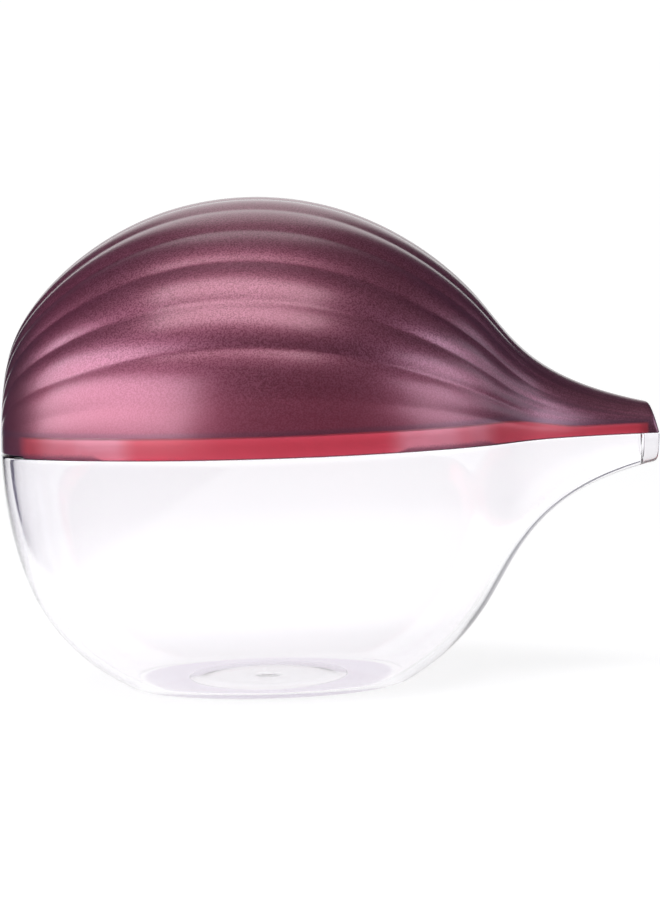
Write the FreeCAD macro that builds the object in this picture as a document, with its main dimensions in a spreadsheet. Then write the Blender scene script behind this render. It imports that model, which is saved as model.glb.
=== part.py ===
import FreeCAD, Part
import math
import os

# An onion keeper: a clear bowl and a ribbed coloured lid, moulded as two half shells that
# together have the shape of an onion lying on its side.  Sizes are in millimetres.
# Each shell is built with the root end at x = 0, the stem along +X and the parting plane at
# z = 0, and is then placed so that the foot stands on the ground with the length centred.

doc = FreeCAD.newDocument("onion_keeper")

# Driving dimensions
SIZES = (
    ("total_length", 165.0, "root end to stem end"),
    ("half_width", 62.0, "parting plane, centre line to the widest point"),
    ("lid_height", 62.0, "parting plane to the crown of the lid"),
    ("bowl_depth", 61.0, "parting plane to the foot"),
    ("stem_half_width", 7.0, "both shells at the stem end"),
    ("lid_stem_height", 7.2, "lid above the parting plane at the stem end"),
    ("bowl_stem_depth", 7.5, "bowl below the parting plane at the stem end"),
    ("wall", 2.4, "wall of either shell"),
    ("end_wall", 4.0, "wall across the bowl's stem end"),
    ("floor", 2.2, "bottom of the bowl"),
    ("lip", 1.1, "thin lower edge of the lid, outside the collar"),
    ("side_clearance", 0.2, "between the lip and the collar"),
    ("collar_setback", 0.1, "from the bowl's inner wall to the collar standing on its rim"),
    ("collar_gap", 0.4, "from the top of the collar to the shoulder above it"),
    ("band_height", 5.3, "height of the thin lip along the bulb"),
    ("stem_band_height", 2.7, "height of the thin lip along the stem"),
    ("band_drop_start", 123.0, "from the root end, where the lip starts to get lower"),
    ("band_drop_end", 147.0, "from the root end, where the lip has its stem height"),
    ("end_slant", 14.0, "lean of the lid's stem end, degrees from upright"),
    ("root_flat", 1.5, "radius of the flat at the root end"),
    ("rib_pitch", 11.8, "angle from one crease of the lid to the next"),
    ("rib_sweep", 10.0, "how far the creases are drawn down at the neck, degrees"),
    ("rib_depth", 0.45, "depth of a crease at the widest section"),
    ("rib_root", 3.0, "radius round the root end inside which the lid is plain"),
    ("rib_fade_start", 118.0, "from the root end, where the ribs start to fade"),
    ("rib_fade_end", 152.0, "from the root end, where the stem is plain"),
    ("relief_length", 7.5, "lifting relief in the lid's edge at the root end"),
    ("relief_height", 0.5, "lifting relief, height"),
    ("foot_centre", 65.0, "root end to the centre of the foot"),
    ("foot_blend", 9.0, "rounding from the foot to the side of the bowl"),
    ("rim_round", 0.35, "rounding of the bowl's outer rim edge"),
    ("end_round", 1.0, "rounding round the stem end of both shells"),
    ("recess_radius", 20.1, "disc set back in the middle of the foot"),
    ("recess_depth", 0.6, "depth of that disc"),
    ("gate_radius", 1.4, "moulding point in the middle of the disc"),
    ("gate_setback", 0.2, "from the foot up to the moulding point"),
)

sheet = doc.addObject("Spreadsheet::Sheet", "sizes")
for row, (alias, value, note) in enumerate(SIZES, start=1):
    sheet.set("A%d" % row, str(value))
    sheet.setAlias("A%d" % row, alias)
    sheet.set("B%d" % row, note)
doc.recompute()


def size(alias):
    """A driving dimension, read from the sheet."""
    return float(getattr(sheet, alias))


# Shape of the onion: control points of a smooth line from the root end to the stem end.
# Along the bulb they are shares of the overall sizes: (length, half width, bowl depth).
# The last two stand at the neck and the stem end and are multiples of the stem's own sizes.
BULB = ((0.0, 0.0, 0.0), (0.0, 0.298, 0.18), (0.021, 0.573, 0.73), (0.23, 1.006, 1.115),
        (0.518, 1.03, 1.18), (0.757, 0.588, 0.77))
STEM = ((0.806, 1.93, 1.87), (1.0, 1.0, 1.0))

ROWS = 48            # stations along the length
ARC_STEPS = 36       # stations across a plain half section
CREASE_SOFTNESS = 0.06   # half width of the rounding in a crease, in pitches
RIB_STATIONS = (0.0, 0.035, 0.08, 0.15, 0.28, 0.5, 0.72, 0.85, 0.92, 0.965)
FREE_ANGLE = 5.0     # the lid is plain up to this angle above the parting plane
FULL_ANGLE = 24.0    # and its ribs have their full depth from this angle
FULL_WIDTH = 0.75    # share of the half width where the ribs have their full depth
SWEEP_START = 0.27   # share of the length where the creases begin to be drawn down
SWEEP_END = 0.8
SWEEP_LIMIT = 1.3    # and the sweep stops growing at this share of that run
RIM_MARGIN = 0.02    # no column of the ribbed skin lies this near its edge, in radians
ROUND_LEAD = 1.6     # the skin's last plain station, in roundings before the stem end
OVER = 5.0           # how far a cutting solid reaches past what it cuts
NEAR = 1e-3          # what lies this near to a plane is in it
ROOTED = 0.05        # how deep the collar starts inside the rim


def clamped_knots(poles):
    """Multiplicities and knots of an even cubic spline that ends on its end poles."""
    spans = poles - 3
    return [4] + [1] * (spans - 1) + [4], [i / spans for i in range(spans + 1)]


def smooth_line(height, stem_height, column):
    """The line (x, half width, height or depth) from the root end to the stem end."""
    length = size("total_length")
    poles = [FreeCAD.Vector(p[0] * length, p[1] * size("half_width"), p[column] * height)
             for p in BULB]
    poles += [FreeCAD.Vector(p[0] * length, p[1] * size("stem_half_width"), p[column] * stem_height)
              for p in STEM]
    line = Part.BSplineCurve()
    mults, knots = clamped_knots(len(poles))
    line.buildFromPolesMultsKnots(poles, mults, knots, False, 3)
    return line


lid_line = smooth_line(size("lid_height"), size("lid_stem_height"), 1)
bowl_line = smooth_line(size("bowl_depth"), size("bowl_stem_depth"), 2)


def skin_point(line, side, t, angle, inset):
    """A point of the shell's skin, moved inwards along the normal by the inset.

    The angle runs from one edge of the half section, over the crown, to the other edge."""
    p = line.value(t)
    d = line.getD1(t)[1]
    c, s = math.cos(angle), math.sin(angle)
    along = FreeCAD.Vector(d.x, -d.y * c, side * d.z * s)
    across = FreeCAD.Vector(0, p.y * s, side * p.z * c)
    normal = across.cross(along) * side
    normal.normalize()
    return FreeCAD.Vector(p.x, -p.y * c, side * p.z * s) + normal * inset


def solve(function, low, high):
    """The parameter where a rising function passes zero."""
    for _ in range(50):
        middle = (low + high) / 2
        if function(middle) < 0:
            low = middle
        else:
            high = middle
    return (low + high) / 2


def skin_grid(line, side, inset, lean, angles, bulge=None, end_inset=None):
    """Control points of the skin, from the root flat to the stem end, a column for each angle.

    Every column starts in the plane of the root flat and ends in the plane of the stem end,
    both moved inwards by the inset, so the skin's end edges are plane.  The stem end can have
    an inset of its own.  The last two points turn the skin round the edge of that end."""
    rounding = size("end_round")
    start_x = line.value(solve(lambda t: line.value(t).y - size("root_flat"), 0, 0.2)).x + inset
    slope = math.tan(math.radians(lean))
    end_x = size("total_length") - (end_inset or inset) / math.cos(math.radians(lean))
    columns = []
    for angle in angles:

        def station(t, extra=0.0):
            turned, depth = bulge(line, t, angle) if bulge else (angle, 0.0)
            return skin_point(line, side, t, turned, inset + depth + extra)

        def where_x(x):
            return solve(lambda t: station(t).x + abs(station(t).z) * slope - x, 0.5, 1.0)

        first = solve(lambda t: station(t).x - start_x, 1e-4, 0.5)
        near_end = where_x(end_x - ROUND_LEAD * rounding)
        column = [station(first + (near_end - first) * i / ROWS) for i in range(ROWS + 1)]
        corner = station(where_x(end_x))
        inwards = station(where_x(end_x), 1.0) - corner
        inwards.x = 0
        inwards.normalize()
        inwards.x = -side * inwards.z * slope
        column += [corner, corner + inwards * rounding]
        columns.append(column)
    return columns


def skin_faces(columns):
    """The skin as one smooth face, and the plane faces of the root flat and the stem end."""
    skin = Part.BSplineSurface()
    u_mults, u_knots = clamped_knots(len(columns))
    v_mults, v_knots = clamped_knots(len(columns[0]))
    skin.buildFromPolesMultsKnots(columns, u_mults, v_mults, u_knots, v_knots, False, False, 3, 3)
    face = skin.toShape()
    ends = []
    for row in (0, -1):
        edge = min(face.Edges, key=lambda e: max(
            e.distToShape(Part.Vertex(columns[k][row]))[0] for k in (0, len(columns) // 2, -1)))
        chord = Part.LineSegment(columns[0][row], columns[-1][row]).toShape()
        ends.append(Part.Face(Part.Wire(Part.__sortEdges__([edge, chord]))))
    return face, ends[0], ends[1]


def plane_rim(faces):
    """The edges of the faces that lie in the parting plane, as one closed wire."""
    edges = [e for f in faces for e in f.Edges
             if abs(e.BoundBox.ZMin) < NEAR and abs(e.BoundBox.ZMax) < NEAR]
    return Part.Wire(Part.__sortEdges__(edges))


def sewn_solid(faces):
    """One solid from faces that meet edge to edge."""
    shell = Part.makeShell(faces)
    shell.sewShape()
    solid = Part.Solid(Part.Shell(shell.Faces))
    if solid.Volume < 0:
        solid.reverse()
    return solid


def half_form(line, side, inset, lean=0.0, end_inset=None):
    """A plain closed half onion, smaller than the outer form by the inset."""
    angles = [math.pi * j / ARC_STEPS for j in range(ARC_STEPS + 1)]
    grid = skin_grid(line, side, inset, lean, angles, end_inset=end_inset)
    faces = list(skin_faces(grid))
    return sewn_solid(faces + [Part.Face(plane_rim(faces))])


def slab(low, height, stem_height):
    """Everything from a low plane up to the lip's height, which drops along the neck."""
    start, end = size("band_drop_start"), size("band_drop_end")
    middle = (start + end) / 2
    near, far = -OVER, size("total_length") + OVER
    drop = Part.BezierCurve()
    drop.setPoles([FreeCAD.Vector(start, 0, height), FreeCAD.Vector(middle, 0, height),
                   FreeCAD.Vector(middle, 0, stem_height), FreeCAD.Vector(end, 0, stem_height)])
    corners = [FreeCAD.Vector(end, 0, stem_height), FreeCAD.Vector(far, 0, stem_height),
               FreeCAD.Vector(far, 0, low), FreeCAD.Vector(near, 0, low),
               FreeCAD.Vector(near, 0, height), FreeCAD.Vector(start, 0, height)]
    edges = [Part.LineSegment(a, b).toShape() for a, b in zip(corners, corners[1:])]
    face = Part.Face(Part.Wire(edges + [drop.toShape()]))
    reach = size("half_width") + OVER
    face.translate(FreeCAD.Vector(0, -reach, 0))
    return face.extrude(FreeCAD.Vector(0, 2 * reach, 0))


def block(low, high):
    """A box as long and wide as the object with room to spare, between two heights."""
    reach = size("half_width") + OVER
    return Part.makeBox(size("total_length") + 2 * OVER, 2 * reach, high - low,
                        FreeCAD.Vector(-OVER, -reach, low))


# Solids of the bowl
def edges_in_plane(shape, z):
    return [e for e in shape.Edges if abs(e.BoundBox.ZMin - z) < NEAR
            and abs(e.BoundBox.ZMax - z) < NEAR]


def bowl_body(inset, depth, end_inset=None, rim_round=0.0):
    """The bowl's form down to a flat bottom with a rounded edge."""
    body = half_form(bowl_line, -1, inset, end_inset=end_inset)
    if rim_round:
        body = body.makeFillet(rim_round, edges_in_plane(body, 0.0))
    body = body.common(block(-depth, OVER))
    return body.makeFillet(size("foot_blend"), edges_in_plane(body, -depth))


def collar_ring():
    """The upstanding ring on the bowl's rim that the lid's thin lip closes over."""
    outside = size("lip") + size("side_clearance")
    inside = size("wall") - size("collar_setback")
    ring = half_form(lid_line, 1, outside, size("end_slant"))
    ring = ring.cut(half_form(lid_line, 1, inside, size("end_slant")))
    gap = size("collar_gap") - ROOTED
    ring = ring.common(slab(-OVER, size("band_height") - gap, size("stem_band_height") - gap))
    ring.translate(FreeCAD.Vector(0, 0, -ROOTED))
    return ring


# Solids of the lid
def smooth_step(value):
    value = min(max(value, 0.0), 1.0)
    return value * value * (3 - 2 * value)


def rib_bulge(line, t, angle):
    """Where a station of the ribbed skin lies: its angle after the sweep, and its depth."""
    p = line.value(t)
    pitch = math.radians(size("rib_pitch"))
    lobe = ((angle - math.pi / 2) / pitch + 0.5) % 1.0
    near = min(lobe, 1 - lobe)
    soft = CREASE_SOFTNESS
    rise = (math.hypot(near, soft) - soft) / (math.hypot(0.5, soft) - soft)
    up = math.degrees(min(angle, math.pi - angle))
    length = size("total_length")
    fade = smooth_step((up - FREE_ANGLE) / (FULL_ANGLE - FREE_ANGLE))
    fade *= 1 - smooth_step((p.x - size("rib_fade_start"))
                            / (size("rib_fade_end") - size("rib_fade_start")))
    fade *= smooth_step((p.y - size("rib_root")) / (size("half_width") * FULL_WIDTH))
    run = max(0.0, (p.x / length - SWEEP_START) / (SWEEP_END - SWEEP_START))
    sweep = math.radians(size("rib_sweep")) * min(run, SWEEP_LIMIT) ** 2
    return angle - sweep * math.sin(2 * angle), size("rib_depth") * fade * (1 - rise) ** 2


def rib_angles():
    """Stations across the lid, closer together at each crease."""
    pitch = math.radians(size("rib_pitch"))
    first = math.pi / 2 + pitch / 2 - pitch * math.ceil(math.pi / 2 / pitch + 0.5)
    lobes = int(2 * math.ceil(math.pi / 2 / pitch + 0.5))
    angles = [first + pitch * (k + f) for k in range(lobes + 1) for f in RIB_STATIONS]
    inside = [a for a in angles if RIM_MARGIN < a < math.pi - RIM_MARGIN]
    return [0.0] + inside + [math.pi]


def lid_body():
    """The ribbed outer form of the lid, solid."""
    faces = list(skin_faces(skin_grid(lid_line, 1, 0.0, size("end_slant"), rib_angles(),
                                      rib_bulge)))
    return sewn_solid(faces + [Part.Face(plane_rim(faces))])


def lid_space():
    """The inside of the lid: smooth, and wider behind the thin lip along its lower edge."""
    inside = half_form(lid_line, 1, size("wall"), size("end_slant"))
    behind_lip = half_form(lid_line, 1, size("lip"), size("end_slant"))
    return inside.fuse(behind_lip.common(
        slab(-OVER, size("band_height"), size("stem_band_height"))))


# Objects of the document
def form(name, shape):
    """A moulded form whose shape no plain primitive gives."""
    item = doc.addObject("Part::Feature", name)
    item.Shape = shape
    return item


def combined(kind, name, base, tool):
    item = doc.addObject(kind, name)
    item.Base = base
    item.Tool = tool
    return item


def disc(name, radius, height, low):
    """An upright cylinder in the middle of the foot, bound to the sheet."""
    item = doc.addObject("Part::Cylinder", name)
    item.setExpression("Radius", "sizes." + radius)
    item.setExpression("Height", height)
    item.setExpression("Placement.Base.x", "sizes.foot_centre")
    item.setExpression("Placement.Base.z", low)
    return item


def set_in_place(item, label):
    """Names the finished piece and stands it on the ground with its length centred."""
    item.Label = label
    item.setExpression("Placement.Base.x", "-sizes.total_length / 2")
    item.setExpression("Placement.Base.z", "sizes.bowl_depth")
    return item


bowl_form = form("bowl_form", bowl_body(0.0, size("bowl_depth"), rim_round=size("rim_round")))
bowl_space = form("bowl_space", bowl_body(size("wall"), size("bowl_depth") - size("floor"),
                                          end_inset=size("end_wall")))
bowl_cup = combined("Part::Cut", "bowl_cup", bowl_form, bowl_space)
bowl_rim = combined("Part::Fuse", "bowl_rim", bowl_cup, form("collar", collar_ring()))
recess = disc("recess", "recess_radius", "sizes.recess_depth", "-sizes.bowl_depth")
gate = disc("gate", "gate_radius", "sizes.recess_depth - sizes.gate_setback",
            "sizes.gate_setback - sizes.bowl_depth")
bowl_foot = combined("Part::Cut", "bowl_foot", bowl_rim, recess)
bowl = set_in_place(combined("Part::Fuse", "bowl_piece", bowl_foot, gate), "bowl")

lid_shell = combined("Part::Cut", "lid_shell", form("lid_form", lid_body()),
                     form("lid_space", lid_space()))
relief = doc.addObject("Part::Box", "relief")
relief.setExpression("Length", "sizes.relief_length + %g" % OVER)
relief.setExpression("Width", "2 * sizes.half_width")
relief.setExpression("Height", "sizes.relief_height + %g" % OVER)
relief.setExpression("Placement.Base.x", "-%g" % OVER)
relief.setExpression("Placement.Base.y", "-sizes.half_width")
relief.setExpression("Placement.Base.z", "-%g" % OVER)
lid = set_in_place(combined("Part::Cut", "lid_piece", lid_shell, relief), "lid")

doc.recompute()

for item in doc.Objects:
    if "Invalid" in item.State or "Error" in item.State:
        raise RuntimeError("%s: %s" % (item.Name, item.State))

os.makedirs("parts", exist_ok=True)
for item in (bowl, lid):
    if item.Shape.isNull() or not item.Shape.isValid() or len(item.Shape.Solids) != 1:
        raise RuntimeError("%s is not one valid solid" % item.Label)
    item.Shape.exportStep("parts/%s.step" % item.Label)
    box = item.Shape.BoundBox
    print(item.Label, "volume %.0f mm3" % item.Shape.Volume,
          "x %.2f to %.2f, y %.2f to %.2f, z %.2f to %.2f"
          % (box.XMin, box.XMax, box.YMin, box.YMax, box.ZMin, box.ZMax))
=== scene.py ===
import math

import bmesh
import bpy
import numpy as np
from mathutils import Matrix, Vector


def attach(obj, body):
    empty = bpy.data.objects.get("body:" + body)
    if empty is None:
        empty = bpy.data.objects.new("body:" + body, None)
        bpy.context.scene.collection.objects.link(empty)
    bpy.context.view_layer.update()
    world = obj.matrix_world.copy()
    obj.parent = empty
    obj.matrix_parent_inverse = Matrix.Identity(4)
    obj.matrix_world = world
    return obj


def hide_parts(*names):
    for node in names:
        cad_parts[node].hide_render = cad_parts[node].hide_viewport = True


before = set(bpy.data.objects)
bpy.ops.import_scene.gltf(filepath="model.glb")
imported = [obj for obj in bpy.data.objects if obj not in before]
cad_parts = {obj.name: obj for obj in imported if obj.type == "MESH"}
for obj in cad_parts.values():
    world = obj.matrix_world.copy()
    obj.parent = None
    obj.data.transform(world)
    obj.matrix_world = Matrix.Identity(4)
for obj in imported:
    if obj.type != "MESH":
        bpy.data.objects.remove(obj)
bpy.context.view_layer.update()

# The looks of an onion keeper: a clear bowl and a ribbed, pearly maroon lid.
# Both mouldings are drawn again here as fine meshes, from the same lines and sizes as the
# construction.  Their sizes are in millimetres, with the root end at x = 0, the stem along +X
# and the parting plane at z = 0; placed() turns that into metres in the shared frame.  The
# materials and the stage are in metres in that frame.
MM = 0.001

# Sizes of the mouldings, in millimetres and degrees
LENGTH = 165.0
HALF_WIDTH = 62.0
LID_HEIGHT = 62.0
BOWL_DEPTH = 61.0
STEM_HALF_WIDTH = 7.0    # the stem's sizes are those at its cut end
LID_STEM_HEIGHT = 7.2
BOWL_STEM_DEPTH = 7.5
WALL = 2.4
END_WALL = 4.0           # of the bowl, at the cut end of the stem
FLOOR = 2.2
LIP = 1.1                # thickness of the lid's thin lower edge
SIDE_CLEARANCE = 0.2     # between that lip and the bowl's collar
COLLAR_SETBACK = 0.1     # of the collar from the inside of the bowl's wall
COLLAR_GAP = 0.4         # over the collar
BAND_HEIGHT = 5.3        # of the lip along the bulb
STEM_BAND_HEIGHT = 2.7   # and along the stem
BAND_DROP_START = 123.0
BAND_DROP_END = 147.0
END_SLANT = 14.0         # the lid's cut end leans back by this angle
RIB_PITCH = 11.8         # angle from crease to crease
RIB_SWEEP = 10.0         # angle by which the creases are drawn down towards the stem
RIB_DEPTH = 0.45
RIB_ROOT = 3.0           # half width at which the creases begin
RIB_FADE_START = 118.0
RIB_FADE_END = 152.0
RELIEF_LENGTH = 7.5      # of the lifting relief in the lid's edge at the root end
RELIEF_HEIGHT = 0.5
FOOT_CENTRE = 65.0
RIM_ROUND = 0.35
END_ROUND = 1.0
RECESS_RADIUS = 20.1
RECESS_DEPTH = 0.6
GATE_RADIUS = 1.4        # of the moulding point in the recess
GATE_SETBACK = 0.2       # of that point from the plane of the foot

# Shape of the onion: control points of a smooth line from the root end to the stem end, as
# shares of (length, half width, bowl depth), and then multiples of the stem's own sizes.
# The lid's heights take the shares of the half width.
BULB = ((0.0, 0.0, 0.0), (0.0, 0.298, 0.18), (0.021, 0.573, 0.73), (0.23, 1.006, 1.115),
        (0.518, 1.03, 1.18), (0.757, 0.588, 0.77))
STEM = ((0.806, 1.93, 1.87), (1.0, 1.0, 1.0))
CREASE_SOFTNESS = 0.06   # as a share of the pitch
FREE_ANGLE = 5.0         # the skin is plain up to this angle above the edge
FULL_ANGLE = 24.0        # and fully ribbed from here
FULL_WIDTH = 0.75        # share of the half width over which the creases grow
SWEEP_START = 0.27       # shares of the length between which the sweep grows to its full angle
SWEEP_END = 0.8
SWEEP_LIMIT = 1.3

# Small roundings and gaps that only show close by
EDGE_ROUND = 0.15
COLLAR_ROUND = 0.2
SEAT_GAP = 0.04
FOOT_BLEND = 0.55        # height over which the side of the bowl turns into the foot
RELIEF_RAMP = 0.12
RIM_MARGIN = 0.4         # no column of the ribbed skin lies this near its edge, in degrees
CORNER_SHARE = 0.45      # most of the end's half width that the corner's rounding may take
HOLE_MARGIN = 2.0        # ring of flat foot that is drawn again round the recess
STEP_ROUND = 0.1         # rounding of the moulding point's low step, across
STEP_EASE = 0.08         # and in height

# How finely the meshes are drawn, and how closely places on a skin are sought
DROP_STEPS = 60
ROOT_SEARCH = (1e-6, 0.4)
END_SEARCH = (0.6, 1.0)
HALVINGS = 44
NUDGE = 1e-4
ROUND_STEPS = 3
RIM_STEPS = 4
ROOT_STATIONS = 44
SIDE_STATIONS = 150
CORNER_STATIONS = 5
LOBE_STATIONS = (0.0, 0.03, 0.07, 0.12, 0.19, 0.28, 0.39, 0.5, 0.61, 0.72, 0.81, 0.88, 0.93, 0.97)
PLAIN_COLUMNS = 132
CIRCLE_STEPS = 120
DISC_RINGS = (14.0, 8.0, 4.0)
LIP_STEPS = (0.35, 0.7, 0.92)
COLLAR_STEPS = (0.35, 0.7)
SAMPLES = 900


# The onion's lines
def line_points(height, stem_height, column):
    """Control points (x, half width, height or depth) from the root end to the stem end."""
    bulb = [(p[0] * LENGTH, p[1] * HALF_WIDTH, p[column] * height) for p in BULB]
    stem = [(p[0] * LENGTH, p[1] * STEM_HALF_WIDTH, p[column] * stem_height) for p in STEM]
    return np.array(bulb + stem)


LID_LINE = line_points(LID_HEIGHT, LID_STEM_HEIGHT, 1)
BOWL_LINE = line_points(BOWL_DEPTH, BOWL_STEM_DEPTH, 2)


def spline(points, t):
    """Place and slope on the even cubic spline that starts and ends on its end points."""
    spans = len(points) - 3
    knots = np.concatenate([np.zeros(3), np.linspace(0, 1, spans + 1), np.ones(3)])
    t = np.clip(np.asarray(t, float), 0.0, 1.0)
    span = np.minimum((t * spans).astype(int), spans - 1) + 3
    work = [points[span - 3 + k] for k in range(4)]
    for level in (1, 2, 3):
        if level == 3:
            slope = 3 * (work[3] - work[2]) / (knots[span + 1] - knots[span])[..., None]
        for k in range(3, level - 1, -1):
            low, high = knots[k + span - 3], knots[k + 1 + span - level]
            share = ((t - low) / (high - low))[..., None]
            work[k] = (1 - share) * work[k - 1] + share * work[k]
    return work[3], slope


def smooth_step(value):
    value = np.clip(value, 0.0, 1.0)
    return value * value * (3 - 2 * value)


def rib_bulge(p, angle):
    """The ribbed skin's angle after the sweep towards the stem, and its depth."""
    pitch = math.radians(RIB_PITCH)
    lobe = ((angle - math.pi / 2) / pitch + 0.5) % 1.0
    near = np.minimum(lobe, 1 - lobe)
    soft = CREASE_SOFTNESS
    rise = (np.hypot(near, soft) - soft) / (math.hypot(0.5, soft) - soft)
    up = np.degrees(np.minimum(angle, math.pi - angle))
    fade = smooth_step((up - FREE_ANGLE) / (FULL_ANGLE - FREE_ANGLE))
    fade = fade * (1 - smooth_step((p[..., 0] - RIB_FADE_START) / (RIB_FADE_END - RIB_FADE_START)))
    fade = fade * smooth_step((p[..., 1] - RIB_ROOT) / (HALF_WIDTH * FULL_WIDTH))
    run = np.maximum(0.0, (p[..., 0] / LENGTH - SWEEP_START) / (SWEEP_END - SWEEP_START))
    sweep = math.radians(RIB_SWEEP) * np.minimum(run, SWEEP_LIMIT) ** 2
    return angle - sweep * np.sin(2 * angle), RIB_DEPTH * fade * (1 - rise) ** 2


def band_height(x):
    """Height of the lid's thin lip at a place along the length.

    It drops on a curve whose two handles are level and reach half way."""
    s = np.linspace(0, 1, DROP_STEPS)
    reach = 1.5 * s * (1 - s) + s ** 3
    share = np.interp((x - BAND_DROP_START) / (BAND_DROP_END - BAND_DROP_START), reach, s)
    return BAND_HEIGHT + (STEM_BAND_HEIGHT - BAND_HEIGHT) * smooth_step(share)


def relief_height(x):
    """Height of the lid's lower edge, which is relieved at the root end."""
    return RELIEF_HEIGHT * np.clip((RELIEF_LENGTH + RELIEF_RAMP - x) / RELIEF_RAMP, 0.0, 1.0)


# Skins of the half shells
class Skin:
    """One skin of a half shell, moved inwards by its inset, up or down to a level plane.

    level(x) is the height of its edge above or below the parting plane."""

    def __init__(self, line, side, inset, level, lean=0.0, end_inset=None, ribs=False, floor=None):
        self.line, self.side, self.inset, self.level = line, side, inset, level
        self.slope = math.tan(math.radians(lean))
        end_inset = inset if end_inset is None else end_inset
        self.end_x = LENGTH - end_inset / math.cos(math.radians(lean))
        self.ribs, self.floor = ribs, floor
        self.trace_edge()

    def points(self, t, angle):
        t, angle = np.broadcast_arrays(t, angle)
        p, d = spline(self.line, t)
        depth = self.inset
        if self.ribs:
            angle, bulge = rib_bulge(p, angle)
            depth = self.inset + bulge
        c, s = np.cos(angle), np.sin(angle)
        along = np.stack([d[..., 0], -d[..., 1] * c, self.side * d[..., 2] * s], -1)
        across = np.stack([0 * c, p[..., 1] * s, self.side * p[..., 2] * c], -1)
        normal = np.cross(across, along) * self.side
        normal /= np.linalg.norm(normal, axis=-1, keepdims=True)
        skin = np.stack([p[..., 0], -p[..., 1] * c, self.side * p[..., 2] * s], -1)
        return skin + normal * np.broadcast_to(depth, t.shape)[..., None]

    def above(self, points):
        return np.abs(points[..., 2]) - self.level(points[..., 0])

    def past_end(self, points):
        return points[..., 0] + np.abs(points[..., 2]) * self.slope - self.end_x

    def trace_edge(self):
        """Finds the skin's lower edge: its start on the centre plane and its angle at each t."""
        start = bisect(lambda t: self.above(self.points(t, math.pi / 2)), *ROOT_SEARCH)
        t = start + (1 - start) * np.linspace(0, 1, SAMPLES) ** 2
        angle = bisect(lambda a: self.above(self.points(t, a)), np.zeros(SAMPLES),
                       np.full(SAMPLES, math.pi / 2))
        angle[0] = math.pi / 2
        edge = self.points(t, angle)
        past = self.past_end(edge)
        last = np.interp(0.0, past[SAMPLES // 2:], t[SAMPLES // 2:])
        keep = t < last
        self.t = np.append(t[keep], last)
        self.low = np.append(angle[keep], np.interp(last, t, angle))
        self.edge = self.points(self.t, self.low)
        run = np.linalg.norm(np.diff(self.edge, axis=0), axis=1)
        self.run = np.concatenate([[0.0], np.cumsum(run)])

    def stations(self):
        """Values of t along the edge, evenly spaced between fixed places on the length."""
        marks = [np.interp(x, self.edge[:, 0], self.run)
                 for x in (RELIEF_LENGTH, RELIEF_LENGTH + RELIEF_RAMP)]
        corner = self.run[-1] - self.corner_length()
        run = np.concatenate([np.linspace(0, marks[0], ROOT_STATIONS)[1:], marks[1:],
                              np.linspace(marks[1], corner, SIDE_STATIONS)[1:]])
        return np.interp(run, self.run, self.t)

    def corner_length(self):
        return min(END_ROUND, CORNER_SHARE * abs(self.edge[-1, 1]))

    def column_angle(self, t, share):
        """Angle of a column that stands at this share of the way across, at each t."""
        low = np.interp(t, self.t, self.low)
        return low + share * (math.pi - 2 * low)

    def rows(self, shares):
        """The skin's points, one row for each station: [station, column].

        The last rows round the corner into the cut end of the stem."""
        shares = np.asarray(shares, float)
        t_edge = self.stations()
        start = self.t[0]
        ends = bisect(lambda t: self.past_end(self.points(t, self.column_angle(t, shares))),
                      *(np.full(shares.shape, limit) for limit in END_SEARCH))
        corner = self.points(ends, self.column_angle(ends, shares))
        back = self.points(ends - NUDGE, self.column_angle(ends - NUDGE, shares)) - corner
        speed = np.linalg.norm(back, axis=-1, keepdims=True) / NUDGE
        back /= np.linalg.norm(back, axis=-1, keepdims=True)
        height = float(self.level(np.array(self.end_x)))
        centre = np.array([self.end_x - height * self.slope, 0.0, self.side * height])
        inward = centre - corner
        inward /= np.linalg.norm(inward, axis=-1, keepdims=True)
        size = self.corner_length()
        reach = ends - size / speed[:, 0]
        grow = (t_edge - start) / (t_edge[-1] - start)
        t = start + (reach - start)[None, :] * grow[:, None]
        grid = self.points(t, self.column_angle(t, shares[None, :]))
        turn = np.linspace(0, 1, CORNER_STATIONS + 1)[1:, None, None]
        weight = np.sqrt((1 - np.sum(back * inward, -1)) / 2)[None, :, None]
        a, b = (1 - turn) ** 2, turn ** 2
        middle = 2 * turn * (1 - turn) * weight
        arc = a * grid[-1] + middle * corner + b * (corner + inward * size)
        return np.concatenate([grid, arc / (a + middle + b)])

    def ring(self, shares):
        """The skin's edge as a closed loop: root, left side, stem end, right side."""
        left = self.rows([0.0])[:, 0]
        right = left * (1, -1, 1)
        across = -np.cos(np.pi * np.asarray(shares[1:-1]))
        chord = np.stack([np.full(across.shape, left[-1, 0]), across * abs(left[-1, 1]),
                          np.full(across.shape, left[-1, 2])], -1)
        return np.concatenate([[self.edge[0]], left, chord, right[::-1]])


def bisect(function, low, high):
    """Where a rising function passes zero, for one value or for an array of them."""
    low, high = np.array(low, float), np.array(high, float)
    for _ in range(HALVINGS):
        middle = (low + high) / 2
        below = function(middle) < 0
        low, high = np.where(below, middle, low), np.where(below, high, middle)
    return (low + high) / 2


def settle_on_floor(points, depth):
    """Turns the lowest part of a bowl's skin into a flat floor with a smooth edge."""
    rise = points[..., 2] + depth
    soft = (rise + FOOT_BLEND) ** 2 / (4 * FOOT_BLEND)
    rise = np.where(rise > FOOT_BLEND, rise, np.where(rise < -FOOT_BLEND, 0.0, soft))
    return np.concatenate([points[..., :2], (rise - depth)[..., None]], -1)


# Meshes from rings and skins
def show(name, data):
    """A new object in the scene."""
    item = bpy.data.objects.new(name, data)
    bpy.context.scene.collection.objects.link(item)
    return item


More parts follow.
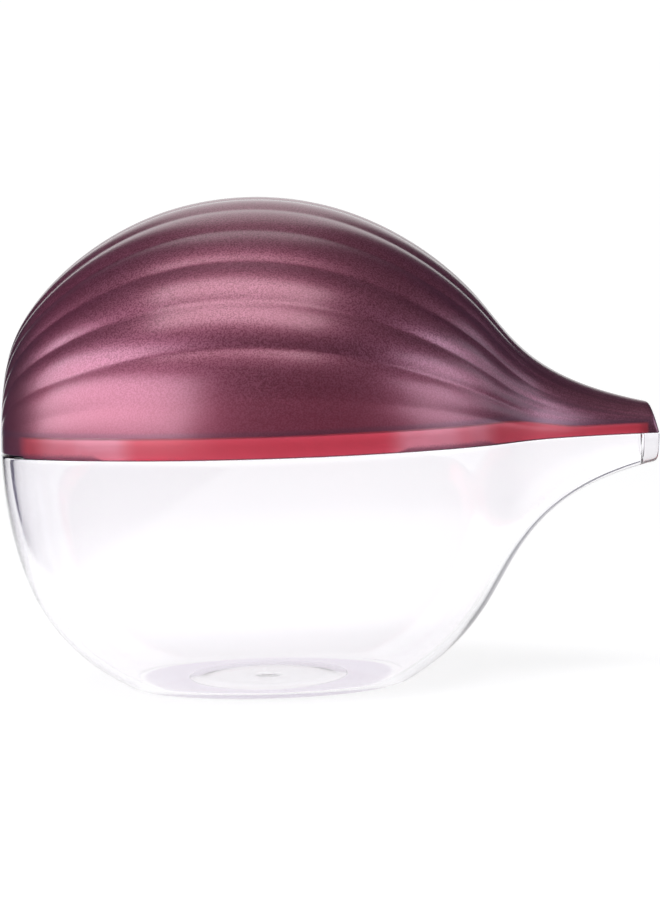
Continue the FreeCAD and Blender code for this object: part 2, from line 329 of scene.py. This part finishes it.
class Moulding:
    """Points and faces of one closed moulding."""

    def __init__(self, shares):
        self.shares, self.points, self.faces = shares, [], []

    def add(self, points):
        """Adds points and returns their numbers, in the same array shape."""
        points = np.asarray(points, float)
        flat = points.reshape(-1, 3)
        first = len(self.points)
        self.points.extend(flat)
        return np.arange(first, first + len(flat)).reshape(points.shape[:-1])

    def join(self, one, other):
        """Faces between two closed loops with as many points each."""
        for k in range(len(one)):
            m = (k + 1) % len(one)
            self.faces.append((one[k], one[m], other[m], other[k]))

    def loft(self, loops):
        for one, other in zip(loops, loops[1:]):
            self.join(one, other)

    def skin(self, skin, edge):
        """Fills a skin inside its edge loop, and closes it at the root and the stem end."""
        columns = len(self.shares)
        rows = skin.rows(self.shares)
        if skin.floor:
            rows = settle_on_floor(rows, skin.floor)
        count = len(rows)
        inner = self.add(rows[:, 1:-1])
        left, right = edge[1:count + 1], edge[:-count - 1:-1]
        chord = edge[count + 1:count + columns - 1]
        grid = np.concatenate([left[:, None], inner, right[:, None]], 1)
        last = np.concatenate([[grid[-1, 0]], chord, [grid[-1, -1]]])
        for j in range(columns - 1):
            self.faces.append((edge[0], grid[0, j], grid[0, j + 1]))
            for i in range(count - 1):
                self.faces.append((grid[i, j], grid[i + 1, j], grid[i + 1, j + 1], grid[i, j + 1]))
            corners = (grid[-1, j], last[j], last[j + 1], grid[-1, j + 1])
            self.faces.append(tuple(dict.fromkeys(corners)))

    def open_disc(self, centre, radius):
        """Takes away the foot's faces inside an upright cylinder; returns the hole's edge."""
        points = np.array(self.points)
        near = np.hypot(points[:, 0] - centre, points[:, 1]) < radius
        near &= points[:, 2] < -BOWL_DEPTH + FOOT_BLEND / 2
        kept, gone = [], []
        for face in self.faces:
            (gone if all(near[k] for k in face) else kept).append(face)
        self.faces = kept
        sides = {(a, b) for face in gone for a, b in zip(face, face[1:] + face[:1])}
        follow = {a: b for a, b in sides if (b, a) not in sides}
        loop = [next(iter(follow))]
        while follow[loop[-1]] != loop[0]:
            loop.append(follow[loop[-1]])
        return loop

    def stitch(self, outer, inner, centre):
        """Flat faces between two loops round a centre, each sorted by direction."""
        def sorted_loop(loop):
            places = np.array([self.points[k] for k in loop])
            turn = np.arctan2(places[:, 1], places[:, 0] - centre)
            order = np.argsort(turn)
            return [loop[k] for k in order], turn[order]

        outer, out_turn = sorted_loop(outer)
        inner, in_turn = sorted_loop(inner)
        i = j = 0
        while i < len(outer) or j < len(inner):
            next_out = out_turn[i + 1] if i + 1 < len(outer) else out_turn[0] + 2 * math.pi
            next_in = in_turn[j + 1] if j + 1 < len(inner) else in_turn[0] + 2 * math.pi
            a, b = outer[i % len(outer)], inner[j % len(inner)]
            if j >= len(inner) or (i < len(outer) and next_out < next_in):
                self.faces.append((a, b, outer[(i + 1) % len(outer)]))
                i += 1
            else:
                self.faces.append((a, b, inner[(j + 1) % len(inner)]))
                j += 1

    def circle(self, centre, radius, z):
        """A level ring of points."""
        turn = 2 * math.pi * np.arange(CIRCLE_STEPS) / CIRCLE_STEPS
        return self.add(np.stack([centre + radius * np.cos(turn), radius * np.sin(turn),
                                  np.full(CIRCLE_STEPS, z)], -1))

    def finish(self, name):
        """The moulding as a smooth-shaded mesh object in the shared frame."""
        mesh = bpy.data.meshes.new(name)
        mesh.from_pydata(placed(np.array(self.points)).tolist(), [],
                         [tuple(int(k) for k in face) for face in self.faces])
        mesh.update()
        piece = show(name, mesh)
        fix_normals(mesh)
        mesh.shade_smooth()
        return piece


def placed(points):
    """From the mouldings' own millimetres to metres in the shared frame."""
    return (points + (-LENGTH / 2, 0.0, BOWL_DEPTH)) * MM


def fix_normals(mesh):
    """Turns every face outwards."""
    work = bmesh.new()
    work.from_mesh(mesh)
    bmesh.ops.recalc_face_normals(work, faces=work.faces)
    work.to_mesh(mesh)
    work.free()


def rounding(radius, steps=ROUND_STEPS):
    """(inwards, up) along a quarter circle, from an upright face over to a level one."""
    for k in range(1, steps + 1):
        turn = math.pi / 2 * k / steps
        yield radius * (1 - math.cos(turn)), radius * math.sin(turn)


def lid_mesh():
    """The ribbed lid with its thin lip."""
    half = math.ceil(90 / RIB_PITCH + 0.5)
    angles = [90 + RIB_PITCH * (k - 0.5 + f) for k in range(-half, half + 1) for f in LOBE_STATIONS]
    shares = [0.0] + [a / 180 for a in angles if RIM_MARGIN < a < 180 - RIM_MARGIN] + [1.0]
    body = Moulding(shares)

    def skin(inset, level, ribs=False):
        return Skin(LID_LINE, 1, inset, level, lean=END_SLANT, ribs=ribs)

    def edge(rise):
        return lambda x: relief_height(x) + SEAT_GAP + rise

    def part_way(share):
        return lambda x: share * band_height(x)

    def shoulder(rise):
        return lambda x: band_height(x) + rise

    outer = skin(0.0, edge(EDGE_ROUND), ribs=True)
    inner = skin(WALL, shoulder(EDGE_ROUND))
    steps = [outer]
    for inwards, drop in rounding(EDGE_ROUND):
        steps.append(skin(inwards, edge(EDGE_ROUND - drop)))
    steps.append(skin(LIP - EDGE_ROUND, edge(0.0)))
    for inwards, up in rounding(EDGE_ROUND):
        steps.append(skin(LIP - EDGE_ROUND + up, edge(inwards)))
    for share in LIP_STEPS:
        steps.append(skin(LIP, part_way(share)))
    steps.append(skin(LIP, shoulder(-EDGE_ROUND)))
    for inwards, up in rounding(EDGE_ROUND):
        steps.append(skin(LIP + inwards, shoulder(up - EDGE_ROUND)))
    steps.append(skin(WALL - EDGE_ROUND, shoulder(0.0)))
    for inwards, up in rounding(EDGE_ROUND):
        steps.append(skin(WALL - EDGE_ROUND + up, shoulder(inwards)))
    loops = [body.add(step.ring(shares)) for step in steps]
    body.loft(loops)
    body.skin(outer, loops[0])
    body.skin(inner, loops[-1])
    return body.finish("lid_moulding")


def bowl_mesh():
    """The clear bowl with its foot, its collar and the disc set back in the foot."""
    shares = np.linspace(0, 1, PLAIN_COLUMNS + 1)
    body = Moulding(shares)

    def flat(depth):
        return lambda x: depth + 0 * x

    def wall(inset, level, floor=None, end_inset=None):
        return Skin(BOWL_LINE, -1, inset, level, floor=floor, end_inset=end_inset)

    def collar(inset, level):
        return Skin(LID_LINE, 1, inset, level, lean=END_SLANT)

    def part_way(share):
        return lambda x: share * (band_height(x) - COLLAR_GAP)

    def below_top(drop):
        return lambda x: band_height(x) - COLLAR_GAP - drop

    outside = LIP + SIDE_CLEARANCE
    inside = WALL - COLLAR_SETBACK
    outer = wall(0.0, flat(RIM_ROUND), floor=BOWL_DEPTH)
    inner = wall(WALL, flat(EDGE_ROUND), floor=BOWL_DEPTH - FLOOR, end_inset=END_WALL)
    steps = [outer]
    for inwards, up in rounding(RIM_ROUND, RIM_STEPS):
        steps.append(wall(inwards, flat(RIM_ROUND - up)))
    steps.append(collar(outside - EDGE_ROUND, flat(0.0)))
    for inwards, up in rounding(EDGE_ROUND):
        steps.append(collar(outside - EDGE_ROUND + up, flat(inwards)))
    for share in COLLAR_STEPS:
        steps.append(collar(outside, part_way(share)))
    steps.append(collar(outside, below_top(COLLAR_ROUND)))
    for inwards, up in rounding(COLLAR_ROUND):
        steps.append(collar(outside + inwards, below_top(COLLAR_ROUND - up)))
    steps.append(collar(inside - COLLAR_ROUND, below_top(0.0)))
    for inwards, up in rounding(COLLAR_ROUND):
        steps.append(collar(inside - COLLAR_ROUND + up, below_top(inwards)))
    for share in reversed(COLLAR_STEPS):
        steps.append(collar(inside, part_way(share)))
    steps.append(collar(inside, flat(0.0)))
    steps.append(inner)
    loops = [body.add(step.ring(shares)) for step in steps]
    body.loft(loops)
    body.skin(outer, loops[0])
    body.skin(inner, loops[-1])
    foot_details(body)
    return body.finish("bowl_moulding")


def foot_details(body):
    """The disc set back in the foot, with its moulding point."""
    hole = body.open_disc(FOOT_CENTRE, RECESS_RADIUS + HOLE_MARGIN)
    foot, disc = -BOWL_DEPTH, -BOWL_DEPTH + RECESS_DEPTH
    point = -BOWL_DEPTH + GATE_SETBACK
    outline = [(RECESS_RADIUS + EDGE_ROUND, foot)]
    for inwards, up in rounding(EDGE_ROUND):
        outline.append((RECESS_RADIUS + EDGE_ROUND - up, foot + inwards))
    for inwards, up in rounding(EDGE_ROUND):
        outline.append((RECESS_RADIUS - inwards, disc - EDGE_ROUND + up))
    outline += [(radius, disc) for radius in (*DISC_RINGS, GATE_RADIUS + 3 * STEP_ROUND)]
    outline += [(GATE_RADIUS, disc - STEP_EASE), (GATE_RADIUS - STEP_ROUND, point + STEP_EASE),
                (GATE_RADIUS - 2.5 * STEP_ROUND, point)]
    loops = [body.circle(FOOT_CENTRE, r, z) for r, z in outline]
    body.loft(loops)
    body.stitch(hole, list(loops[0]), FOOT_CENTRE)
    tip = body.add(np.array([[FOOT_CENTRE, 0.0, point]]))[0]
    last = loops[-1]
    for k in range(CIRCLE_STEPS):
        body.faces.append((last[k], last[(k + 1) % CIRCLE_STEPS], tip))


lid = lid_mesh()
bowl = bowl_mesh()
for piece, node, slot in ((lid, "lid", "lid_plastic"), (bowl, "bowl", "clear_plastic")):
    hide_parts(node)
    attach(piece, node)


# Colours
def srgb(red, green, blue):
    """A colour given as it looks, 0 to 255, as the shader's own values."""
    def linear(v):
        v /= 255
        return v / 12.92 if v <= 0.04045 else ((v + 0.055) / 1.055) ** 2.4
    return (linear(red), linear(green), linear(blue), 1.0)


WHITE = (1.0, 1.0, 1.0, 1.0)
PEARL_DEEP = srgb(112, 42, 66)
PEARL_LIGHT = srgb(166, 92, 120)
PEARL_CLOUD = srgb(138, 58, 84)
STREAK = srgb(92, 40, 62)
# Painted glow: stands in for light that shines through the lid's wall above the lip
PAINTED_GLOW = srgb(178, 74, 100)
# Painted shade and sheen on the neck
NECK_SHADE_AND_SHEEN = srgb(134, 84, 104)
# Painted shade at the root end
ROOT_SHADE = srgb(96, 56, 72)
THIN_RED = srgb(230, 80, 102)
# Painted highlight on the lip
THIN_SHEEN = srgb(248, 166, 186)
EDGE_DARK = srgb(112, 52, 80)
SHOULDER_DARK = srgb(112, 72, 96)
BOWL_COLOUR = (0.995, 0.988, 0.998, 1.0)
BOWL_TINT = (0.8, 0.74, 0.9, 1.0)
BOWL_TINT_DENSITY = 12.0

# How strongly each tone covers what is under it
CLOUD_STRENGTH = 0.35
STREAK_STRENGTH = 0.6
PAINTED_GLOW_STRENGTH = 0.6
NECK_STRENGTH = 0.3
ROOT_STRENGTH = 0.6
EDGE_STRENGTH = 0.75
SHOULDER_STRENGTH = 0.4

# The lid's finish; a pair is for the thick wall and for the thin lip
METAL = 0.6
GLOW_METAL_LOSS = 0.2
THIN_METAL_LOSS = 0.9
TRANSMISSION = (0.5, 0.92)
COAT = (0.9, 0.6)
COAT_ROUGHNESS = (0.26, 0.1)     # seen flat, and at a grazing angle
GRAZING = (0.7, 0.95)
LID_ROUGHNESS = (0.36, 0.44)
BOWL_ROUGHNESS = (0.015, 0.04)
PLASTIC_IOR = 1.5

# Zones of the lid's looks, in metres.  A pair is where a change begins and where it ends.
ALONG_PAINTED_GLOW = (0.02, 0.05)
ALONG_NECK = (0.03, 0.07)
ALONG_STREAKS = (0.01, 0.05)
ALONG_ROOT_SHADE = (-0.078, -0.068)
THIN_FROM = (-0.0765, -0.0735)
THIN_TO = (0.0792, 0.08)
ABOVE_THIN = (-0.0002, 0.00025)  # above the top of the lip
ABOVE_PAINTED_GLOW = (0.0, 0.022)
LIP_WAVER = 0.00012      # by which the top of the lip wanders up and down
EDGE_LINE = 0.0003       # height of the dark line at the very edge
# Places where the lip is painted pale as painted highlights, as (from, to, softness, strength), and
# where its dark edge line is higher, as (from, to, softness, added height)
SHEEN_PATCHES = ((-0.067, -0.052, 0.006, 0.85), (0.018, 0.034, 0.007, 0.8))
DARK_PATCHES = ((-0.076, -0.058, 0.004, 0.0012), (0.018, 0.036, 0.004, 0.0011))

# Scales of the patterns, in features for each metre
SPECKLE_SCALE = 2500.0
CLOUD_SCALE = 45.0
WAVE_SCALE = 30.0
HAZE_SCALE = 220.0
STREAK_LENGTHS = 26.0    # features for each metre along the neck
STREAK_TURNS = 13.0      # features for each radian round it

# Parts of a noise's range over which a pattern goes from nothing to full
WIDE_RANGE = (0.3, 0.7)
CRISP_RANGE = (0.4, 0.6)
CLOUD_RANGE = (0.35, 0.7)
STREAK_RANGE = (0.38, 0.62)
LINE_RANGE = (0.35, 0.65)
LINE_UNEVEN = (0.8, 1.2)         # by which the speckle makes the edge's dark line uneven
LINE_FADE = (0.3, 1.2)           # of that line, as shares of its height
SHOULDER_LINE = (0.0002, 0.0006, 0.001)  # from, to and softness, above the top of the lip


# Materials
class Nodes:
    """A node tree of a material or the world, with a short way to add and link nodes."""

    def __init__(self, tree):
        self.tree = tree

    def add(self, kind, inputs=None, **settings):
        node = self.tree.nodes.new(kind)
        for key, value in settings.items():
            setattr(node, key, value)
        self.fill(node, inputs or {})
        return node

    def fill(self, node, inputs):
        for key, value in inputs.items():
            self.put(node.inputs[key], value)

    def put(self, socket, value):
        if isinstance(value, bpy.types.NodeSocket):
            self.tree.links.new(value, socket)
        elif isinstance(value, bpy.types.Node):
            self.tree.links.new(value.outputs[0], socket)
        else:
            socket.default_value = value

    def math(self, operation, *values, clamp=False):
        node = self.add("ShaderNodeMath", operation=operation, use_clamp=clamp)
        for socket, value in zip(node.inputs, values):
            self.put(socket, value)
        return node.outputs[0]

    def times(self, first, *others):
        for value in others:
            first = self.math("MULTIPLY", first, value)
        return first

    def plus(self, one, other):
        return self.math("ADD", one, other)

    def minus(self, one, other):
        return self.math("SUBTRACT", one, other)

    def larger(self, one, other):
        return self.math("MAXIMUM", one, other)

    def distance(self, one, other):
        return self.math("SQRT", self.plus(self.times(one, one), self.times(other, other)))

    def coordinates(self, name="Object"):
        """A place, or in the world a direction, whole and as its three parts."""
        place = self.add("ShaderNodeTexCoord").outputs[name]
        return place, *self.add("ShaderNodeSeparateXYZ", {0: place}).outputs

    def noise(self, vector, scale, detail=2.0, roughness=0.5):
        return self.add("ShaderNodeTexNoise", {"Vector": vector, "Scale": scale, "Detail": detail,
                                               "Roughness": roughness}).outputs[0]

    def spread(self, value, zone, low, high, smooth=False):
        """From low at the zone's start to high at its end, and level outside it."""
        return self.add("ShaderNodeMapRange", {0: value, 1: zone[0], 2: zone[1], 3: low, 4: high},
                        interpolation_type="SMOOTHSTEP" if smooth else "LINEAR").outputs[0]

    def rise(self, value, zone, full=1.0):
        return self.spread(value, zone, 0.0, full, smooth=True)

    def fall(self, value, zone, full=1.0):
        return self.spread(value, zone, full, 0.0, smooth=True)

    def window(self, value, low, high, soft):
        """One between low and high, fading to nothing over a short way outside."""
        return self.times(self.rise(value, (low - soft, low)), self.fall(value, (high, high + soft)))

    def patches(self, value, places):
        """One window for each place, times its strength."""
        return [self.times(self.window(value, low, high, soft), strength)
                for low, high, soft, strength in places]

    def blend(self, share, one, other):
        node = self.add("ShaderNodeMix", data_type="RGBA")
        self.put(node.inputs[0], share)
        self.put(node.inputs[6], one)
        self.put(node.inputs[7], other)
        return node.outputs[2]


def new_material(name):
    """A material, its nodes, its shader and its output."""
    material = bpy.data.materials.new(name)
    material.use_nodes = True
    m = Nodes(material.node_tree)
    return material, m, m.tree.nodes["Principled BSDF"], m.tree.nodes["Material Output"]


def lid_material():
    """Pearly maroon plastic that glows red where the wall is thin."""
    material, m, shader, _ = new_material("pearl_maroon")
    place, x, y, z = m.coordinates()
    height = m.minus(z, BOWL_DEPTH * MM)
    cloud = m.noise(place, CLOUD_SCALE, 3.0)
    speckle = m.noise(place, SPECKLE_SCALE, 2.0, 0.7)

    # How far above the top of the lip, and whether the wall is thin there
    drop = [(end - LENGTH / 2) * MM for end in (BAND_DROP_START, BAND_DROP_END)]
    lip_top = m.spread(x, drop, (BOWL_DEPTH + BAND_HEIGHT) * MM,
                       (BOWL_DEPTH + STEM_BAND_HEIGHT) * MM, smooth=True)
    above = m.minus(m.minus(z, lip_top), m.spread(cloud, WIDE_RANGE, -LIP_WAVER, LIP_WAVER))
    thin = m.times(m.fall(above, ABOVE_THIN),
                   m.math("MINIMUM", m.fall(x, THIN_TO), m.rise(x, THIN_FROM)))

    # Pearl, with streaks, a paler, greyer neck of painted shade and sheen, and a painted red glow
    # just above the lip that stands in for light shining through the wall
    pearl = m.blend(m.spread(speckle, CRISP_RANGE, 0.0, 1.0), PEARL_DEEP, PEARL_LIGHT)
    pearl = m.blend(m.spread(cloud, CLOUD_RANGE, 0.0, CLOUD_STRENGTH), pearl, PEARL_CLOUD)
    turn = m.math("ARCTAN2", height, y)
    flow = m.add("ShaderNodeCombineXYZ", {0: m.times(x, STREAK_LENGTHS),
                                          1: m.times(turn, STREAK_TURNS)})
    streak = m.times(m.rise(m.noise(flow, 1.0, 4.0, 0.6), STREAK_RANGE),
                     m.rise(x, ALONG_STREAKS, STREAK_STRENGTH))
    pearl = m.blend(streak, pearl, STREAK)
    glow = m.times(m.fall(above, ABOVE_PAINTED_GLOW), m.fall(x, ALONG_PAINTED_GLOW))
    # Painted glow: the pearl turns a brighter red just above the lip
    pearl = m.blend(m.times(glow, PAINTED_GLOW_STRENGTH), pearl, PAINTED_GLOW)
    # Painted shade and sheen: the neck is a greyer mauve
    pearl = m.blend(m.rise(x, ALONG_NECK, NECK_STRENGTH), pearl, NECK_SHADE_AND_SHEEN)
    # Painted shade: the root end is darker
    pearl = m.blend(m.fall(x, ALONG_ROOT_SHADE, ROOT_STRENGTH), pearl, ROOT_SHADE)

    # The lip's red, paler in places with painted highlights, and the dark lines at its edge and its
    # top
    pale = m.times(m.spread(cloud, CRISP_RANGE, 0.5, 1.0, smooth=True),
                   m.larger(*m.patches(x, SHEEN_PATCHES)))
    colour = m.blend(thin, pearl, m.blend(pale, THIN_RED, THIN_SHEEN))
    line = m.times(m.plus(m.plus(*m.patches(x, DARK_PATCHES)), EDGE_LINE),
                   m.spread(speckle, LINE_RANGE, *LINE_UNEVEN))
    edge = m.fall(m.math("DIVIDE", height, line), LINE_FADE, EDGE_STRENGTH)
    shoulder = m.times(m.window(above, *SHOULDER_LINE), SHOULDER_STRENGTH)
    colour = m.blend(shoulder, m.blend(edge, colour, EDGE_DARK), SHOULDER_DARK)

    fine = m.add("ShaderNodeBump", {"Strength": 0.25, "Distance": 0.00002, "Height": speckle})
    bump = m.add("ShaderNodeBump", {"Strength": 0.12, "Distance": 0.0002, "Height": cloud,
                                    "Normal": fine})
    facing = m.add("ShaderNodeLayerWeight", {"Blend": 0.5}).outputs["Facing"]
    m.fill(shader, {
        "Base Color": colour,
        "Metallic": m.times(m.minus(METAL, m.times(glow, GLOW_METAL_LOSS)),
                            m.minus(1.0, m.times(thin, THIN_METAL_LOSS))),
        "Roughness": m.spread(speckle, WIDE_RANGE, *LID_ROUGHNESS),
        "Transmission Weight": m.spread(thin, (0.0, 1.0), *TRANSMISSION),
        "IOR": PLASTIC_IOR,
        "Coat Weight": m.spread(thin, (0.0, 1.0), *COAT),
        "Coat Roughness": m.spread(facing, GRAZING, *COAT_ROUGHNESS),
        "Normal": bump,
    })
    return material


def bowl_material():
    """Clear plastic with a faint lavender tint."""
    material, m, shader, output = new_material("clear_lavender")
    place = m.add("ShaderNodeTexCoord").outputs["Object"]
    wave = m.noise(place, WAVE_SCALE, 2.0)
    haze = m.noise(place, HAZE_SCALE, 3.0)
    m.fill(shader, {
        "Base Color": BOWL_COLOUR,
        "Roughness": m.spread(haze, WIDE_RANGE, *BOWL_ROUGHNESS),
        "Transmission Weight": 1.0,
        "IOR": PLASTIC_IOR,
        "Normal": m.add("ShaderNodeBump", {"Strength": 0.08, "Distance": 0.0003, "Height": wave}),
    })
    m.fill(output, {"Volume": m.add("ShaderNodeVolumeAbsorption",
                                    {"Color": BOWL_TINT, "Density": BOWL_TINT_DENSITY})})
    return material


lid.data.materials.append(lid_material())
bowl.data.materials.append(bowl_material())

# The stage's sizes, in metres
BACKDROP_Y = 2.0
BACKDROP_HEIGHT = 3.6
STAGE_HALF = 4.0
SWEEP = 0.65             # radius of the sweep from floor to backdrop
SWEEP_STEPS = 12
FLOOR_LEVEL = 0.00002    # a hair above the underside of the foot, so that they share no plane

# How bright the floor looks to the camera, close by and far off
FLOOR_GLOW = 0.84
FAR_GLOW = 0.93
GLOW_CHANGE = (0.3, 1.5)

# How bright it looks through the clear bowl, level and where it has risen to a backdrop
CLEAR_GLOW = 0.93
BACKDROP_GLOW = 0.86
BACKDROP_CHANGE = (0.0, 0.3)

# What the lamps light
FLOOR_COLOUR = (0.3, 0.3, 0.3, 1.0)
DARK_FLOOR_COLOUR = (0.1, 0.085, 0.15, 1.0)

# Light that reflected inside a wall of the bowl finds the floor dark to the left of DARK_LEFT
# and in a stripe.  Both slant outwards, further back; the stripe begins at STRIPE_BACK.
DARK_LEFT = -0.105
DARK_LEFT_SOFT = 0.025
STRIPE_START = -0.06
STRIPE_END = 0.025
STRIPE_SOFT = 0.008
STRIPE_BACK = 0.036
STRIPE_BACK_SOFT = 0.012
DARK_SLANT = 0.63
TWO_WALLS = 4            # surfaces that light crosses in two walls

# Gloss shows the floor pale close by and in a part behind, which widens further back
MIRROR_HALF = 0.065
MIRROR_SOFT = 0.1
MIRROR_WIDENS = 0.3
MIRROR_FRONT = (-0.12, 0.1)
MIRROR_NEAR = (0.12, 0.2)

# Painted contact shadow: the floor that the foot rests on is painted lavender, outside the recess
CONTACT_LENGTH = 0.032
CONTACT_WIDTH = 0.0275
CONTACT_SHADOW_COLOUR = (0.74, 0.69, 0.78, 1.0)
CONTACT_SOFT = 0.001
RECESS_SOFT = 0.0003

# The world: its level for lit surfaces, and the studio that gloss and clear plastic show
WORLD_LEVEL = 0.25
BRIGHT_STUDIO = 1.0
DARK_STUDIO = 0.08
DARK_TOP = 0.3
ROOF_CHANGE = (0.5, 0.85)        # upward part of the direction
LEFT_CHANGE = (0.3, 0.65)        # upward part over which the bright part's left edge moves
LEFT_EDGE = (-0.85, -0.4)        # that edge, as sideways over backwards, low and high up
LEFT_SOFT = 0.4
RIGHT_EDGE = (0.42, 0.85)
WIDE_HALF = 0.6
WIDE_SOFT = 0.2

# Lamps: name, place, width, height, power and colour
COOL_LEFT = (0.99, 0.98, 1.08)
COOL_RIGHT = (0.94, 0.96, 1.12)
LAMPS = (("left_box", (-0.68, -0.36, 0.34), 1.15, 0.4, 6.1, COOL_LEFT),
         ("right_box", (0.73, -0.19, 0.30), 0.34, 0.34, 1.05, COOL_RIGHT),
         ("side_box", (0.74, 0.13, 0.30), 0.45, 0.34, 0.42, COOL_RIGHT),
         ("top_box", (-0.08, -0.28, 0.86), 0.9, 0.36, 4.0, WHITE[:3]))
LAMP_AIM = (-0.01, 0.0, 0.07)

CAMERA_PLACE = (-0.01643, -0.7558, 0.10842)
CAMERA_PITCH = 3.766     # degrees down
CAMERA_YAW = 1.223       # degrees to the right
CAMERA_ROLL = 1.616      # degrees, which lifts the stem end
FOCAL_PIXELS = 2995.4
PICTURE_HEIGHT = 900
SENSOR = 36.0


# Stage: floor, backdrop, lights and camera
def seen_straight(m, path):
    """One for light that crosses clear walls without reflecting, or has crossed two of them."""
    surfaces = path.outputs["Transmission Depth"]
    plain = m.math("LESS_THAN", m.minus(path.outputs["Ray Depth"], surfaces), 0.5)
    return m.larger(plain, m.math("GREATER_THAN", surfaces, TWO_WALLS - 0.5))


def floor_material():
    """A pale surface that shows white to the camera, and through glass, but keeps shadows."""
    material, m, shader, output = new_material("pale_floor")
    m.tree.nodes.remove(shader)
    path = m.add("ShaderNodeLightPath")
    direct, clear = path.outputs["Is Camera Ray"], path.outputs["Is Transmission Ray"]
    gloss = m.math("SUBTRACT", path.outputs["Is Glossy Ray"], clear, clamp=True)
    _, x, y, z = m.coordinates()
    back = m.larger(y, 0.0)
    off = m.distance(x, y)

    # Where clear plastic shows it pale
    slant = m.times(back, DARK_SLANT)
    stripe = m.times(m.window(m.minus(x, slant), STRIPE_START, STRIPE_END, STRIPE_SOFT),
                     m.rise(back, (STRIPE_BACK - STRIPE_BACK_SOFT, STRIPE_BACK)))
    pale = m.times(m.rise(m.plus(x, slant), (DARK_LEFT - DARK_LEFT_SOFT, DARK_LEFT)),
                   m.minus(1.0, stripe))
    pale = m.larger(pale, seen_straight(m, path))

    # Where gloss shows it pale
    aside = m.minus(m.math("ABSOLUTE", x), m.times(back, MIRROR_WIDENS))
    mirror = m.times(m.fall(aside, (MIRROR_HALF, MIRROR_HALF + MIRROR_SOFT)), m.rise(y, MIRROR_FRONT))
    mirror = m.larger(mirror, m.fall(off, MIRROR_NEAR))

    # The painted contact shadow under the foot
    along = m.minus(x, (FOOT_CENTRE - LENGTH / 2) * MM)
    disc = RECESS_RADIUS * MM
    oval = m.distance(along, m.times(y, CONTACT_LENGTH / CONTACT_WIDTH))
    contact_shadow = m.times(m.spread(m.distance(along, y), (disc, disc + RECESS_SOFT), 0.0, 1.0),
                      m.fall(oval, (CONTACT_LENGTH - CONTACT_SOFT, CONTACT_LENGTH)))

    through = m.times(clear, pale, m.spread(z, BACKDROP_CHANGE, CLEAR_GLOW, BACKDROP_GLOW))
    plain = m.times(direct, m.spread(off, GLOW_CHANGE, FLOOR_GLOW, FAR_GLOW, smooth=True))
    glow = m.larger(plain, m.larger(through, m.times(gloss, mirror, FLOOR_GLOW)))
    dark = m.plus(m.times(clear, m.minus(1.0, pale)), m.times(gloss, m.minus(1.0, mirror)))
    light = m.add("ShaderNodeEmission", {"Color": m.blend(contact_shadow, WHITE, CONTACT_SHADOW_COLOUR),
                                         "Strength": glow})
    matt = m.add("ShaderNodeBsdfDiffuse", {"Color": m.blend(dark, FLOOR_COLOUR, DARK_FLOOR_COLOUR)})
    m.fill(output, {"Surface": m.add("ShaderNodeAddShader", {0: light, 1: matt})})
    return material


def stage_sheet():
    """Floor that sweeps up into a backdrop behind the object."""
    profile = [(-STAGE_HALF, 0.0)]
    for k in range(SWEEP_STEPS + 1):
        turn = math.pi / 2 * k / SWEEP_STEPS
        profile.append((BACKDROP_Y - SWEEP + SWEEP * math.sin(turn), SWEEP - SWEEP * math.cos(turn)))
    profile.append((BACKDROP_Y, BACKDROP_HEIGHT))
    points = [(side * STAGE_HALF, y, z) for y, z in profile for side in (-1, 1)]
    faces = [(2 * k, 2 * k + 1, 2 * k + 3, 2 * k + 2) for k in range(len(profile) - 1)]
    mesh = bpy.data.meshes.new("floor")
    mesh.from_pydata(points, [], faces)
    mesh.shade_smooth()
    mesh.materials.append(floor_material())
    floor = show("floor", mesh)
    floor.location.z = FLOOR_LEVEL


def soft_box(name, place, width, height, power, colour):
    lamp = bpy.data.lights.new(name, "AREA")
    lamp.color = colour
    lamp.shape = "RECTANGLE"
    lamp.size, lamp.size_y, lamp.energy = width, height, power
    item = show(name, lamp)
    item.location = place
    item.rotation_euler = (Vector(LAMP_AIM) - Vector(place)).to_track_quat("-Z", "Y").to_euler()


def world_light():
    """Plain light for lit surfaces, white for the camera, and a studio with dark sides in gloss."""
    world = bpy.data.worlds.new("studio")
    bpy.context.scene.world = world
    world.use_nodes = True
    m = Nodes(world.node_tree)
    path = m.add("ShaderNodeLightPath")
    _, x, y, z = m.coordinates("Generated")
    slope = m.math("DIVIDE", x, m.larger(y, 0.01))
    roof = m.spread(z, ROOF_CHANGE, BRIGHT_STUDIO, DARK_TOP, smooth=True)
    left_edge = m.spread(z, LEFT_CHANGE, *LEFT_EDGE, smooth=True)
    bright = m.times(m.rise(m.minus(slope, left_edge), (-LEFT_SOFT, 0.0)), m.fall(slope, RIGHT_EDGE))
    wide = m.larger(m.window(slope, -WIDE_HALF, WIDE_HALF, WIDE_SOFT), seen_straight(m, path))
    strength = WORLD_LEVEL
    for kind, part in (("Is Glossy Ray", bright), ("Is Transmission Ray", wide)):
        light = m.larger(m.times(part, roof), DARK_STUDIO)
        strength = m.plus(m.times(path.outputs[kind], m.minus(light, strength)), strength)
    m.fill(m.tree.nodes["Background"],
           {"Color": WHITE, "Strength": m.larger(strength, path.outputs["Is Camera Ray"])})


def camera():
    data = bpy.data.cameras.new("camera")
    data.sensor_width = SENSOR
    data.lens = FOCAL_PIXELS / PICTURE_HEIGHT * SENSOR
    item = show("camera", data)
    turn = (Matrix.Rotation(math.radians(-CAMERA_YAW), 4, "Z")
            @ Matrix.Rotation(math.radians(90 - CAMERA_PITCH), 4, "X")
            @ Matrix.Rotation(math.radians(-CAMERA_ROLL), 4, "Z"))
    item.matrix_world = Matrix.Translation(CAMERA_PLACE) @ turn
    bpy.context.scene.camera = item


stage_sheet()
for lamp in LAMPS:
    soft_box(*lamp)
world_light()
camera()
bpy.context.scene.view_settings.view_transform = "Standard"
